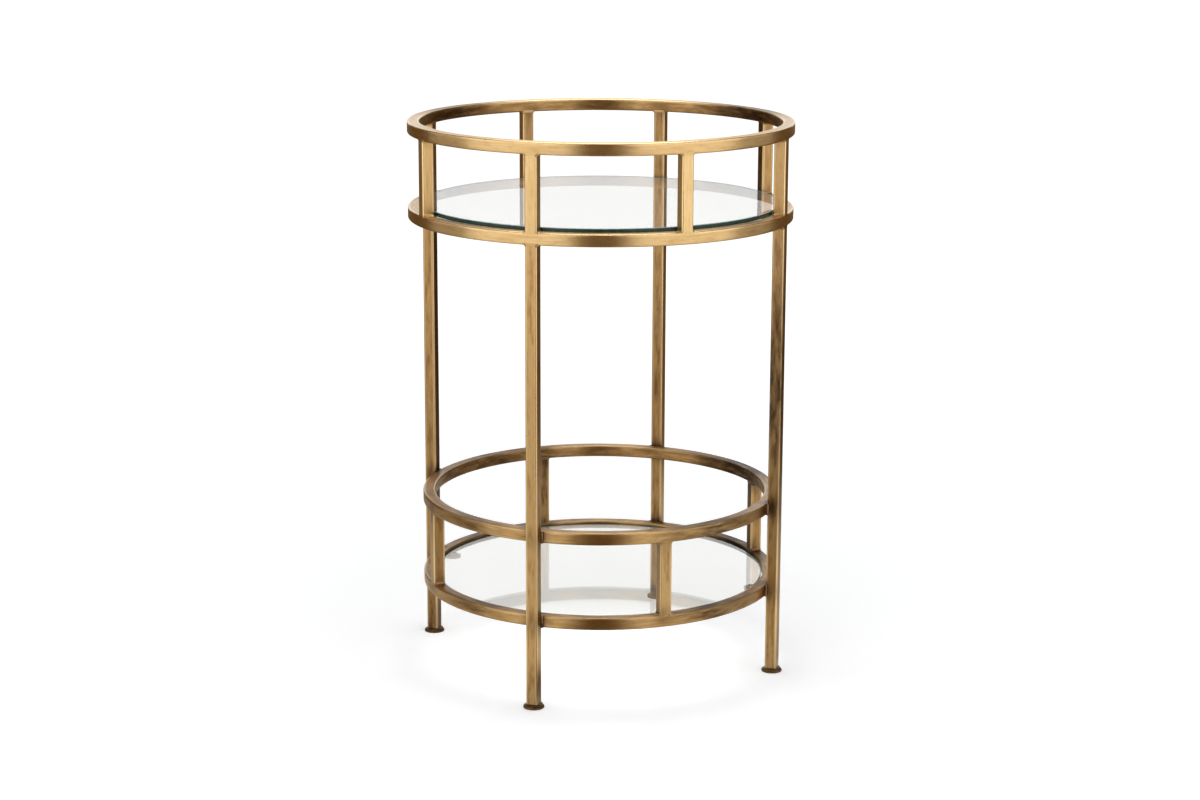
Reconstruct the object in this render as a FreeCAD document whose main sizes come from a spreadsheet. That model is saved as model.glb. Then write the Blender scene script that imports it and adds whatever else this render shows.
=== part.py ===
import FreeCAD, Part
import math
import os
import Sketcher

# Round side table in two tiers: square tube, rolled and welded into rings, posts and legs, with two loose
# glass discs. The frame is +Z up, with the origin on the floor under the middle; the legs stand on the X
# and Y axes.

# Driving dimensions, in millimetres.
SIZES = {
    "outer_diameter": 406.4,        # outside of the top ring and of the upper shelf ring
    "total_height": 584.2,          # floor to the top of the top ring
    "tube_size": 12.7,              # square tube, across its flats
    "tube_wall": 1.2,
    "tube_corner": 1.5,             # outer corner radius of the tube
    "upper_post_height": 77.0,      # clear height between the two upper rings
    "lower_post_height": 77.0,      # clear height between the two lower rings
    "lower_post_offset": 13.2,      # along the ring, from midway between two legs to each lower post
    "lower_shelf_height": 84.5,     # floor to the underside of the lower shelf ring
    "foot_diameter": 22.4,
    "foot_thickness": 4.0,
    "foot_round": 1.4,              # rounding of the foot disc's two rims
    "glass_thickness": 5.0,
    "glass_gap": 2.0,               # between a glass disc's edge and the ring round it
    "glass_arris": 0.6,             # ground-off corner of the glass edge
    "upper_glass_proud": 3.8,       # upper glass's top above the top of its ring
    "lower_glass_inset": 2.7,       # lower glass's top below the top of its ring
    "tab_thickness": 3.0,
    "tab_width": 16.0,
    "tab_reach": 13.0,              # from the ring's inner wall to the tab's round end
    "bumper_diameter": 8.0,
    "bumper_thickness": 2.0,
    "bumper_round": 0.8,
    "weld_size": 2.5,               # leg length of the weld beads at the lower rings
}

# Sizes and places worked out from the driving dimensions.
UPPER_RADIUS = "((Sizes.outer_diameter - Sizes.tube_size) / 2)"
LOWER_RADIUS = "((Sizes.outer_diameter - 3 * Sizes.tube_size) / 2)"
UPPER_BORE = "(Sizes.outer_diameter / 2 - Sizes.tube_size)"
LOWER_BORE = "(Sizes.outer_diameter / 2 - 2 * Sizes.tube_size)"
LOWER_OUTSIDE = UPPER_BORE

TOP_RING_BASE = "(Sizes.total_height - Sizes.tube_size)"
UPPER_POST_BASE = f"({TOP_RING_BASE} - Sizes.upper_post_height)"
UPPER_SHELF_BASE = f"({UPPER_POST_BASE} - Sizes.tube_size)"
LOWER_SHELF_BASE = "Sizes.lower_shelf_height"
LOWER_POST_BASE = f"({LOWER_SHELF_BASE} + Sizes.tube_size)"
GALLERY_BASE = f"({LOWER_POST_BASE} + Sizes.lower_post_height)"
UPPER_GLASS_BASE = f"({UPPER_POST_BASE} + Sizes.upper_glass_proud - Sizes.glass_thickness)"
LOWER_GLASS_BASE = f"({LOWER_POST_BASE} - Sizes.lower_glass_inset - Sizes.glass_thickness)"

# Directions round the table, in degrees from +X; the front is -Y. The other upper posts stand midway between
# legs, and the lower posts a little short of that, by the lag below.
LEG_NAMES = ("right", "back", "left", "front")
MIDWAY_NAMES = ("back_right", "back_left", "front_left", "front_right")
LEG_SIDES = {name: 360 * step / len(LEG_NAMES) for step, name in enumerate(LEG_NAMES)}
MIDWAY_SIDES = {name: 360 * (step + 0.5) / len(MIDWAY_NAMES) for step, name in enumerate(MIDWAY_NAMES)}
LOWER_POST_LAG = f"Sizes.lower_post_offset / {LOWER_RADIUS} * 1 rad"

doc = FreeCAD.newDocument("tiered_side_table")
sheet = doc.addObject("Spreadsheet::Sheet", "Sizes")
nodes = []


def fill_sheet():
    """Writes each driving dimension to a cell of its own, named by an alias."""
    for row, (alias, value) in enumerate(SIZES.items(), start=1):
        sheet.set(f"A{row}", alias)
        sheet.set(f"B{row}", str(value))
        sheet.setAlias(f"B{row}", alias)
    doc.recompute()


def size(alias):
    """Reads a driving dimension from the sheet."""
    return float(sheet.get(alias))


def new_body(label):
    """Starts a body; its label names its file."""
    body = doc.addObject("PartDesign::Body", label)
    body.Label = label
    return body


def new_sketch(body, plane):
    """Adds a sketch on one of the body's own origin planes."""
    sketch = body.newObject("Sketcher::SketchObject", f"{body.Name}_sketch")
    support = next(item for item in body.Origin.OriginFeatures if item.Role == plane)
    sketch.AttachmentSupport = (support, [""])
    sketch.MapMode = "FlatFace"
    return sketch


def bind(sketch, constraint, name, expression):
    """Adds a named constraint whose value follows an expression."""
    index = sketch.addConstraint(constraint)
    sketch.renameConstraint(index, name)
    sketch.setExpression(f"Constraints.{name}", expression)


def draw_square(sketch, name, side, left=None, bottom=None):
    """Draws a square, either centred on the sketch's origin or with its lower left corner at left, bottom."""
    first = sketch.GeometryCount
    # The square is drawn anywhere near, and the constraints below then set it.
    near = size("tube_size")
    low, high = (-near, near) if left is None else (near, near + near)
    corners = [FreeCAD.Vector(x, y, 0) for x, y in ((low, low), (high, low), (high, high), (low, high))]
    for start, end in zip(corners, corners[1:] + corners[:1]):
        sketch.addGeometry(Part.LineSegment(start, end), False)
    for step in range(4):
        following = first + (step + 1) % 4
        sketch.addConstraint(Sketcher.Constraint("Coincident", first + step, 2, following, 1))
        direction = "Vertical" if step % 2 else "Horizontal"
        sketch.addConstraint(Sketcher.Constraint(direction, first + step))
    bind(sketch, Sketcher.Constraint("DistanceX", first, 1, first, 2, 1.0), f"{name}_width", side)
    bind(sketch, Sketcher.Constraint("DistanceY", first + 1, 1, first + 1, 2, 1.0), f"{name}_height", side)
    if left is None:
        sketch.addConstraint(Sketcher.Constraint("Symmetric", first, 1, first + 2, 1, -1, 1))
        return
    bind(sketch, Sketcher.Constraint("DistanceX", -1, 1, first, 1, 1.0), f"{name}_left", left)
    if bottom is None:
        sketch.addConstraint(Sketcher.Constraint("PointOnObject", first, 1, -1))
        return
    bind(sketch, Sketcher.Constraint("DistanceY", -1, 1, first, 1, 1.0), f"{name}_bottom", bottom)


def pad(body, sketch, length):
    """Extrudes a sketch by a length expression."""
    feature = body.newObject("PartDesign::Pad", f"{body.Name}_pad")
    feature.Profile = sketch
    feature.setExpression("Length", length)
    doc.recompute()
    return feature


def revolve(body, sketch, kind):
    """Turns a sketch once round the body's upright axis, as a Revolution or as a Groove."""
    feature = body.newObject(f"PartDesign::{kind}", f"{body.Name}_{kind.lower()}")
    feature.Profile = sketch
    feature.ReferenceAxis = (sketch, ["V_Axis"])
    feature.Angle = 360.0
    doc.recompute()
    return feature


def dress_edges(body, base, kind, amount_name, amount, keep):
    """Rounds or chamfers those edges of a feature that the keep test picks."""
    names = [f"Edge{n}" for n, edge in enumerate(base.Shape.Edges, start=1) if keep(edge)]
    feature = body.newObject(f"PartDesign::{kind}", f"{body.Name}_{kind.lower()}")
    feature.Base = (base, names)
    feature.setExpression(amount_name, amount)
    doc.recompute()
    return feature


def place(piece, radius, angle, base, lag="0 deg"):
    """Sets a piece at a radius, an angle less a lag, and a height, turned to face the table's axis."""
    direction = f"({angle} deg - {lag})"
    piece.setExpression("Placement.Rotation.Angle", direction)
    piece.setExpression("Placement.Base.x", f"({radius}) * cos({direction})")
    piece.setExpression("Placement.Base.y", f"({radius}) * sin({direction})")
    piece.setExpression("Placement.Base.z", base)
    doc.recompute()


def make_ring(label, radius, base):
    """A ring rolled from square tube, closed on itself, with its hollow sealed inside."""
    body = new_body(label)
    inside = f"{radius} - Sizes.tube_size / 2"
    outline = new_sketch(body, "XZ_Plane")
    draw_square(outline, "outline", "Sizes.tube_size", left=inside)
    solid = revolve(body, outline, "Revolution")
    rounded = dress_edges(body, solid, "Fillet", "Radius", "Sizes.tube_corner",
                          lambda edge: edge.Curve.TypeId == "Part::GeomCircle" and edge.isClosed())
    hollow = new_sketch(body, "XZ_Plane")
    draw_square(hollow, "hollow", "Sizes.tube_size - 2 * Sizes.tube_wall",
                left=f"{inside} + Sizes.tube_wall", bottom="Sizes.tube_wall")
    cut = revolve(body, hollow, "Groove")
    if cut.Shape.Volume >= rounded.Shape.Volume:
        raise RuntimeError(f"{label}: the tube's hollow was not cut")
    place(body, "0 mm", 0, base)
    nodes.append(body)


def make_tube(label, radius, angle, base, length, lag="0 deg"):
    """An upright length of square tube with rounded corners, its place as place() takes it."""
    body = new_body(label)
    section = new_sketch(body, "XY_Plane")
    draw_square(section, "outline", "Sizes.tube_size")
    draw_square(section, "hollow", "Sizes.tube_size - 2 * Sizes.tube_wall")
    tube = pad(body, section, length)
    outer_reach = size("tube_size") / 2 - size("tube_wall") / 2

    def on_outer_corner(edge):
        ends = [vertex.Point for vertex in edge.Vertexes]
        upright = abs(ends[0].z - ends[1].z) > abs(ends[0].x - ends[1].x) + abs(ends[0].y - ends[1].y)
        return upright and abs(ends[0].x) > outer_reach

    dress_edges(body, tube, "Fillet", "Radius", "Sizes.tube_corner", on_outer_corner)
    place(body, radius, angle, base, lag)
    nodes.append(body)


def make_disc(label, diameter, thickness, kind, amount_name, amount, rims):
    """A round disc whose chosen rims are rounded or chamfered."""
    body = new_body(label)
    outline = new_sketch(body, "XY_Plane")
    circle = outline.addGeometry(Part.Circle(FreeCAD.Vector(), FreeCAD.Vector(0, 0, 1), 1.0), False)
    outline.addConstraint(Sketcher.Constraint("Coincident", circle, 3, -1, 1))
    bind(outline, Sketcher.Constraint("Diameter", circle, 1.0), "diameter", diameter)
    disc = pad(body, outline, thickness)
    dress_edges(body, disc, kind, amount_name, amount,
                lambda edge: edge.isClosed() and rims(edge.CenterOfMass.z))
    return body


def make_foot(side, angle):
    """A round foot disc under a leg, its rims rounded."""
    foot = make_disc(f"foot_{side}", "Sizes.foot_diameter", "Sizes.foot_thickness",
                     "Fillet", "Radius", "Sizes.foot_round", lambda height: True)
    place(foot, UPPER_RADIUS, angle, "0 mm")
    nodes.append(foot)


def make_glass(label, bore, base):
    """A loose glass disc with ground edges."""
    glass = make_disc(label, f"2 * ({bore} - Sizes.glass_gap)", "Sizes.glass_thickness",
                      "Chamfer", "Size", "Sizes.glass_arris", lambda height: True)
    place(glass, "0 mm", 0, base)
    nodes.append(glass)


def make_tab(label, bore, angle, base):
    """A flat tab with a round end, cut to the ring's inner wall at its other end."""
    body = new_body(label)
    outline = new_sketch(body, "XY_Plane")
    origin, up = FreeCAD.Vector(), FreeCAD.Vector(0, 0, 1)
    # The outline is drawn at its size, and the constraints below then hold it.
    half = size("tab_width") / 2
    wall_radius = body.evalExpression(bore)
    nose_x = wall_radius - size("tab_reach") + half
    corner_x = math.sqrt(wall_radius ** 2 - half ** 2)
    spread = math.asin(half / wall_radius)
    corners = [FreeCAD.Vector(x, y, 0) for x, y in
               ((corner_x, half), (nose_x, half), (nose_x, -half), (corner_x, -half))]
    wall_circle = Part.Circle(origin, up, wall_radius)
    nose_circle = Part.Circle(FreeCAD.Vector(nose_x, 0, 0), up, half)
    wall = outline.addGeometry(Part.ArcOfCircle(wall_circle, -spread, spread), False)
    left = outline.addGeometry(Part.LineSegment(corners[0], corners[1]), False)
    end = outline.addGeometry(Part.ArcOfCircle(nose_circle, math.pi / 2, 3 * math.pi / 2), False)
    right = outline.addGeometry(Part.LineSegment(corners[2], corners[3]), False)
    for first, first_end, second, second_end in ((wall, 2, left, 1), (right, 2, wall, 1)):
        outline.addConstraint(Sketcher.Constraint("Coincident", first, first_end, second, second_end))
    for first, first_end, second, second_end in ((left, 2, end, 1), (end, 2, right, 1)):
        outline.addConstraint(Sketcher.Constraint("Tangent", first, first_end, second, second_end))
    outline.addConstraint(Sketcher.Constraint("Coincident", wall, 3, -1, 1))
    outline.addConstraint(Sketcher.Constraint("PointOnObject", end, 3, -1))
    outline.addConstraint(Sketcher.Constraint("Horizontal", left))
    bind(outline, Sketcher.Constraint("Radius", wall, wall_radius), "wall", bore)
    bind(outline, Sketcher.Constraint("Radius", end, half), "end", "Sizes.tab_width / 2")
    bind(outline, Sketcher.Constraint("DistanceX", -1, 1, end, 3, nose_x), "nose",
         f"{bore} - Sizes.tab_reach + Sizes.tab_width / 2")
    pad(body, outline, "Sizes.tab_thickness")
    place(body, "0 mm", angle, base)
    nodes.append(body)


def make_bumpers(label, bore, base):
    """The clear bumpers of one shelf, one in the middle of each tab's round end."""
    bumpers = []
    for side, angle in LEG_SIDES.items():
        top = size("bumper_thickness") / 2
        bumper = make_disc(f"{label}_{side}", "Sizes.bumper_diameter", "Sizes.bumper_thickness",
                           "Fillet", "Radius", "Sizes.bumper_round", lambda height: height > top)
        place(bumper, f"{bore} - Sizes.tab_reach + Sizes.tab_width / 2", angle, base)
        bumpers.append(bumper)
    group = doc.addObject("Part::Compound", label)
    group.Label = label
    group.Links = bumpers
    doc.recompute()
    nodes.append(group)


def make_welds(label, base):
    """Quarter-round weld beads up both sides of each leg, where a lower ring lies against it."""
    beads = []
    for side, angle in LEG_SIDES.items():
        for hand in (-1, 1):
            bead = doc.addObject("Part::Cylinder", f"{label}_{side}_bead")
            bead.setExpression("Radius", "Sizes.weld_size")
            bead.setExpression("Height", "Sizes.tube_size - 2 * Sizes.tube_corner")
            aside = f"{hand} * Sizes.tube_size / 2"
            cosine, sine = f"cos({angle} deg)", f"sin({angle} deg)"
            bead.setExpression("Placement.Base.x", f"{LOWER_OUTSIDE} * {cosine} - {aside} * {sine}")
            bead.setExpression("Placement.Base.y", f"{LOWER_OUTSIDE} * {sine} + {aside} * {cosine}")
            bead.setExpression("Placement.Base.z", f"{base} + Sizes.tube_corner")
            beads.append(bead)
    raw = doc.addObject("Part::Compound", f"{label}_raw")
    raw.Links = beads
    ring_body = doc.addObject("Part::Cylinder", f"{label}_ring_outside")
    ring_body.setExpression("Radius", LOWER_OUTSIDE)
    ring_body.setExpression("Height", "Sizes.tube_size")
    ring_body.setExpression("Placement.Base.z", base)
    legs = []
    for side in ("x", "y"):
        span = doc.addObject("Part::Box", f"{label}_legs_{side}")
        across, along = ("Width", "Length") if side == "x" else ("Length", "Width")
        span.setExpression(along, "Sizes.outer_diameter")
        span.setExpression(across, "Sizes.tube_size")
        span.setExpression("Height", "Sizes.tube_size")
        along_axis, across_axis = ("x", "y") if side == "x" else ("y", "x")
        span.setExpression(f"Placement.Base.{along_axis}", "-Sizes.outer_diameter / 2")
        span.setExpression(f"Placement.Base.{across_axis}", "-Sizes.tube_size / 2")
        span.setExpression("Placement.Base.z", base)
        legs.append(span)
    envelope = doc.addObject("Part::MultiFuse", f"{label}_envelope")
    envelope.Shapes = legs + [ring_body]
    welds = doc.addObject("Part::Cut", label)
    welds.Label = label
    welds.Base = raw
    welds.Tool = envelope
    doc.recompute()
    nodes.append(welds)


def build():
    """Makes every piece, from the top ring down."""
    make_ring("top_ring", UPPER_RADIUS, TOP_RING_BASE)
    make_ring("upper_shelf_ring", UPPER_RADIUS, UPPER_SHELF_BASE)
    for side, angle in {**LEG_SIDES, **MIDWAY_SIDES}.items():
        make_tube(f"upper_post_{side}", UPPER_RADIUS, angle, UPPER_POST_BASE, "Sizes.upper_post_height")
    for side, angle in LEG_SIDES.items():
        make_tube(f"leg_{side}", UPPER_RADIUS, angle, "Sizes.foot_thickness",
                  f"{UPPER_SHELF_BASE} - Sizes.foot_thickness")
        make_foot(side, angle)
    make_ring("gallery_ring", LOWER_RADIUS, GALLERY_BASE)
    make_ring("lower_shelf_ring", LOWER_RADIUS, LOWER_SHELF_BASE)
    for side, angle in MIDWAY_SIDES.items():
        make_tube(f"lower_post_{side}", LOWER_RADIUS, angle, LOWER_POST_BASE, "Sizes.lower_post_height",
                  LOWER_POST_LAG)
    make_welds("gallery_ring_welds", GALLERY_BASE)
    make_welds("lower_shelf_ring_welds", LOWER_SHELF_BASE)
    tiers = (("upper", UPPER_BORE, UPPER_GLASS_BASE), ("lower", LOWER_BORE, LOWER_GLASS_BASE))
    for tier, bore, glass_base in tiers:
        for side, angle in LEG_SIDES.items():
            make_tab(f"{tier}_tab_{side}", bore, angle,
                     f"{glass_base} - Sizes.bumper_thickness - Sizes.tab_thickness")
        make_bumpers(f"{tier}_bumpers", bore, f"{glass_base} - Sizes.bumper_thickness")
        make_glass(f"{tier}_glass", bore, glass_base)


def check():
    """Stops if any object failed or any piece's shape is empty or broken."""
    doc.recompute()
    failed = [item.Label for item in doc.Objects if {"Invalid", "Error"} & set(item.State)]
    if failed:
        raise RuntimeError(f"failed objects: {failed}")
    for node in nodes:
        if node.Shape.isNull() or not node.Shape.isValid() or not node.Shape.Solids:
            raise RuntimeError(f"{node.Label}: no valid solid")


def export():
    """Writes each piece to a STEP file named after it."""
    os.makedirs("parts", exist_ok=True)
    for node in nodes:
        node.Shape.exportStep(os.path.join("parts", f"{node.Label}.step"))
        print(node.Label, len(node.Shape.Solids), "solids", round(node.Shape.Volume, 1), "mm3")


fill_sheet()
build()
check()
export()
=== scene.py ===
"""The looks of a round tiered side table: a brushed, antiqued brass tube frame with two loose glass shelves.

Lengths are metres in the part's own frame: +Z up, -Y the front, the origin on the floor under the middle.
"""
import logging
import math
from collections.abc import Callable, Sequence
from dataclasses import dataclass, field
from enum import Enum
from itertools import accumulate
from typing import Any, NamedTuple

import bmesh
import bpy
from mathutils import Matrix, Vector, noise


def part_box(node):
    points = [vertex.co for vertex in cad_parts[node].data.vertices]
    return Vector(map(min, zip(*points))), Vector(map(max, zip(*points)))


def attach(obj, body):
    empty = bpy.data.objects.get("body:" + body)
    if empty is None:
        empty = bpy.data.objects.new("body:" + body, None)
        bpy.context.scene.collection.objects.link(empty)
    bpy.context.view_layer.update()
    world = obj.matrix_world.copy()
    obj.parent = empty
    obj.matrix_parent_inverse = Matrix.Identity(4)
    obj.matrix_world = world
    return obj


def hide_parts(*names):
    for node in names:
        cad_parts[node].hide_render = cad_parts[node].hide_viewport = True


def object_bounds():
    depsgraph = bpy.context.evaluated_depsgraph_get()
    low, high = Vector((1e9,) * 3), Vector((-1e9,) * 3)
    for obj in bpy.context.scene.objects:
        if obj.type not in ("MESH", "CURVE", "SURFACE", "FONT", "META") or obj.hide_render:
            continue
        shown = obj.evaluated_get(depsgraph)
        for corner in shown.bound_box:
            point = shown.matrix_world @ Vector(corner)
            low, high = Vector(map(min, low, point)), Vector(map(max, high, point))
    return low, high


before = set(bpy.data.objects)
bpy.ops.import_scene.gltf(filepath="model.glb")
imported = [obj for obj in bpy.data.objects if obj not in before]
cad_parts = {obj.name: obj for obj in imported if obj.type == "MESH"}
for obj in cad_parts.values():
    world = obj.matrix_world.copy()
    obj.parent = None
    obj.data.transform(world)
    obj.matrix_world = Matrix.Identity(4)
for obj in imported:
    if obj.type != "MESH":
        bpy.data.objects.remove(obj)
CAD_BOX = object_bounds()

MM = 0.001
SHARP_ANGLE = math.radians(40.0)
# The map that tells a finish how far along and around its tube each point lies, in metres.
GRAIN = "grain"
# A mix node's colour sockets share their names with others, so they are told apart by number.
MIX_FACTOR, MIX_A, MIX_B, MIX_RESULT = 0, 6, 7, 2
# Nearly all values of a noise lie between these two.
NOISE_LOW, NOISE_HIGH = 0.3, 0.7
GLASS_IOR, VINYL_IOR, LACQUER_IOR = 1.52, 1.53, 1.5
QUARTER_TURN = 0.25
# Bearing of what lies behind the table, in degrees from the camera.
BEHIND = 180.0
WHITE = "#FFFFFF"
log = logging.getLogger("side_table")

Tree = bpy.types.NodeTree
Socket = bpy.types.NodeSocket
# What an input of a node takes: another node's output, a number or a colour.
Input = Socket | float | tuple[float, ...]
Loop = list[Vector]
HeatAndShadeRule = Callable[[Vector], float]


def linear(hex_colour: str) -> tuple[float, float, float, float]:
    """Turns an sRGB hex colour to linear light.

    Args:
        hex_colour: the colour as "#RRGGBB".

    Returns:
        Red, green, blue and an alpha of 1.
    """
    levels = [int(hex_colour[start:start + 2], 16) / 255.0 for start in (1, 3, 5)]
    red, green, blue = (x / 12.92 if x <= 0.04045 else ((x + 0.055) / 1.055) ** 2.4 for x in levels)
    return red, green, blue, 1.0


def add_node(tree: Tree, kind: str, settings: dict[str, Any] | None = None,
             inputs: dict[str | int, Any] | None = None) -> bpy.types.Node:
    """Adds one shader node with its settings and links.

    Args:
        tree: the node tree of a material or the world.
        kind: the node's type, without its "ShaderNode".
        settings: the node's own properties.
        inputs: what each input takes, a value or another node's output.

    Returns:
        The new node.
    """
    node = tree.nodes.new("ShaderNode" + kind)
    for name, value in (settings or {}).items():
        setattr(node, name, value)
    for name, value in (inputs or {}).items():
        if isinstance(value, Socket):
            tree.links.new(value, node.inputs[name])
        else:
            node.inputs[name].default_value = value
    return node


def blend(tree: Tree, share: Input, under: Input, over: Input, mode: str = "MIX") -> Socket:
    """Adds a mix of two colours.

    Args:
        tree: the node tree.
        share: how much of the second colour shows, from 0 to 1.
        under: the first colour.
        over: the second colour.
        mode: how the second colour is laid on the first.

    Returns:
        The output that holds the mixed colour.
    """
    mix = add_node(tree, "Mix", {"data_type": "RGBA", "blend_type": mode}, {
        MIX_FACTOR: share, MIX_A: under, MIX_B: over})
    return mix.outputs[MIX_RESULT]


def work_out(tree: Tree, operation: str, *values: Input, clamp: bool = False) -> Socket:
    """Adds one step of arithmetic.

    Args:
        tree: the node tree.
        operation: what is done with the values.
        values: numbers, or other nodes' outputs.
        clamp: whether the result is kept between 0 and 1.

    Returns:
        The output that holds the result.
    """
    settings = {"operation": operation, "use_clamp": clamp}
    return add_node(tree, "Math", settings, dict(enumerate(values))).outputs[0]


def ramp(tree: Tree, value: Socket, start: float, end: float, low: float = 0.0, high: float = 1.0) -> Socket:
    """Adds a level that goes from one number to another while a value crosses a range.

    Args:
        tree: the node tree.
        value: the output that holds the value.
        start: where the range begins.
        end: where it ends.
        low: the level at the beginning.
        high: the level at the end.

    Returns:
        The output that holds the level.
    """
    return add_node(tree, "MapRange", {}, {
        "Value": value, "From Min": start, "From Max": end, "To Min": low, "To Max": high}).outputs[0]


def cloud(tree: Tree, place: Socket, size: float, detail: float = 2.0) -> Socket:
    """Adds a soft noise.

    Args:
        tree: the node tree.
        place: the coordinates, in metres.
        size: how wide its patches are, in millimetres.
        detail: how many finer noises are laid over it.

    Returns:
        The output that holds the noise, from 0 to about 1.
    """
    inputs = {"Vector": place, "Scale": 1.0 / (size * MM), "Detail": detail}
    return add_node(tree, "TexNoise", {}, inputs).outputs[0]


def blank_material(name: str) -> tuple[bpy.types.Material, Tree]:
    """Makes a material with an empty node tree.

    Args:
        name: what the material is called.

    Returns:
        The material and its tree.
    """
    material = bpy.data.materials.new(name)
    material.use_nodes = True
    material.node_tree.nodes.clear()
    return material, material.node_tree


def add_surface(tree: Tree, inputs: dict[str, Any]) -> None:
    """Adds the shader that a material ends in.

    Args:
        tree: the material's node tree.
        inputs: what each input of the shader takes.
    """
    shader = add_node(tree, "BsdfPrincipled", {}, inputs)
    add_node(tree, "OutputMaterial", {}, {"Surface": shader.outputs[0]})


class Mark(Enum):
    """What tints or roughens brass: a noise, as its length and width in millimetres, or a mesh attribute."""

    TONE = (46.0, 26.0)
    BAND = (70.0, 4.0)
    PATCH = (15.0, 5.0)
    BLOTCH = (30.0, 6.0)
    # Real brush lines are under 0.1 mm apart; these are drawn coarser, so that they show from a step away.
    STREAK = (48.0, 0.8)
    SPECK = (2.6, 1.3)
    # The name "heat" belongs to smoke in the renderer, so this attribute has another. It carries the dark of
    # welds and painted shade.
    HEAT_AND_SHADE = "scorch"
    # Patina, and the shade painted on inner faces and undersides.
    TARNISH = "tarnish"
    # Rubbing, and the highlights painted along corners.
    WEAR = "wear"


class GrainFrom(Enum):
    """Where a finish takes the direction of its brushing from."""

    TUBE = "the grain map, which runs along each tube"
    PLACE = "the piece's own place, for small plates"


@dataclass(frozen=True)
class Tint:
    """One colour laid over the metal where a mark is strong.

    Attributes:
        mark: the mark that places it.
        colour: sRGB hex colour.
        start: the mark's value at which the colour begins.
        full: the value at which it reaches its amount.
        amount: how much of it shows there.
    """

    mark: Mark
    colour: str
    start: float
    full: float
    amount: float


@dataclass(frozen=True)
class PatinatedBrass:
    """Brass that was brushed, browned with a patina, rubbed back and lacquered.

    Attributes:
        name: the material's name.
        base: colour of the plain metal.
        tints: colours laid over it, in order.
        smooth: roughness on the brightest streaks.
        rough: roughness on the dullest streaks.
        lacquer: weight of the clear coat.
        relief: depth of the brush lines and dents.
        grain: where the brushing's direction comes from.
        brushing: how far the highlight spreads across the brush lines of a tube.
        polish: roughness taken away where it is rubbed bright.
        heat_rough: roughness added where welding dulled the metal, and where shade is painted with the same
            mark.
        lacquer_rough: roughness of the clear coat.
        dents: depth of the dents, as a share of the brush lines'.
        bump: how far the relief turns the light, from 0 to 1.
        uneven: how far blotches weaken or strengthen the dark of welds, the patina and the rubbing, with the
            shade and highlights painted among them.
        detail: how many finer noises are laid over each noise.
        detail_share: strength of each finer noise beside the one before it.
    """

    name: str
    base: str
    tints: tuple[Tint, ...]
    smooth: float
    rough: float
    lacquer: float
    relief: float
    grain: GrainFrom
    brushing: float = 0.0
    polish: float = 0.0
    heat_rough: float = 0.15
    lacquer_rough: float = 0.22
    dents: float = 0.8
    bump: float = 0.25
    uneven: tuple[float, float] = (0.55, 1.3)
    detail: float = 4.0
    detail_share: float = 0.6

    def make(self) -> bpy.types.Material:
        """Builds the material.

        Returns:
            The finished material.
        """
        material, tree = blank_material(self.name)
        if self.grain is GrainFrom.TUBE:
            place = add_node(tree, "UVMap", {"uv_map": GRAIN}).outputs["UV"]
        else:
            place = add_node(tree, "TexCoord").outputs["Object"]
        marks = self.lay_marks(tree, place)
        colour: Input = linear(self.base)
        for tint in self.tints:
            share = ramp(tree, marks[tint.mark], tint.start, tint.full, high=tint.amount)
            colour = blend(tree, share, colour, linear(tint.colour))
        brushed = ramp(tree, marks[Mark.STREAK], NOISE_LOW, NOISE_HIGH, self.smooth, self.rough)
        dulled = work_out(tree, "MULTIPLY_ADD", marks[Mark.HEAT_AND_SHADE], self.heat_rough, brushed)
        rubbed = work_out(tree, "MULTIPLY_ADD", marks[Mark.WEAR], -self.polish, dulled, clamp=True)
        height = work_out(tree, "MULTIPLY_ADD", marks[Mark.PATCH], self.dents, marks[Mark.STREAK])
        bump = add_node(tree, "Bump", {}, {"Strength": self.bump, "Distance": self.relief, "Height": height})
        inputs = {
            "Base Color": colour, "Metallic": 1.0, "Roughness": rubbed, "Normal": bump.outputs[0],
            "Coat Weight": self.lacquer, "Coat Roughness": self.lacquer_rough, "Coat IOR": LACQUER_IOR}
        if self.grain is GrainFrom.TUBE:
            # A quarter turn sends the highlight across the brush lines, which run along the tube.
            tangent = add_node(tree, "Tangent", {"direction_type": "UV_MAP", "uv_map": GRAIN})
            inputs |= {"Anisotropic": self.brushing, "Anisotropic Rotation": QUARTER_TURN,
                       "Tangent": tangent.outputs[0]}
        add_surface(tree, inputs)
        return material

    def lay_marks(self, tree: Tree, place: Socket) -> dict[Mark, Socket]:
        """Adds the noise or attribute that each mark needs.

        Args:
            tree: the material's node tree.
            place: the coordinates, in metres.

        Returns:
            The output that holds each mark, from 0 to about 1.
        """
        marks: dict[Mark, Socket] = {}
        for mark in Mark:
            if isinstance(mark.value, str):
                value = add_node(tree, "Attribute", {"attribute_name": mark.value}).outputs["Fac"]
                uneven = ramp(tree, marks[Mark.BLOTCH], NOISE_LOW, NOISE_HIGH, *self.uneven)
                marks[mark] = work_out(tree, "MULTIPLY", value, uneven)
            else:
                length, width = mark.value
                scale = (1.0 / (length * MM), 1.0 / (width * MM), 1.0 / (width * MM))
                stretched = add_node(tree, "Mapping", {}, {"Vector": place, "Scale": scale})
                marks[mark] = add_node(tree, "TexNoise", {}, {
                    "Vector": stretched.outputs[0], "Scale": 1.0, "Detail": self.detail,
                    "Roughness": self.detail_share}).outputs[0]
        return marks


# What making and the years left on every tube: two browns of the patina, which also carry the shade painted
# on inner faces and undersides; rubbed gold, which also carries highlights painted on corners; and the dark
# of a weld, which also carries shade painted on a leg.
AGEING = (
    Tint(Mark.TARNISH, "#8E580C", 0.00, 0.50, 0.60),
    Tint(Mark.TARNISH, "#42290B", 0.45, 1.00, 0.80),
    Tint(Mark.WEAR, "#FFDFA8", 0.10, 0.80, 0.80),
    Tint(Mark.HEAT_AND_SHADE, "#3A2208", 0.05, 0.95, 0.92),
)
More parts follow.
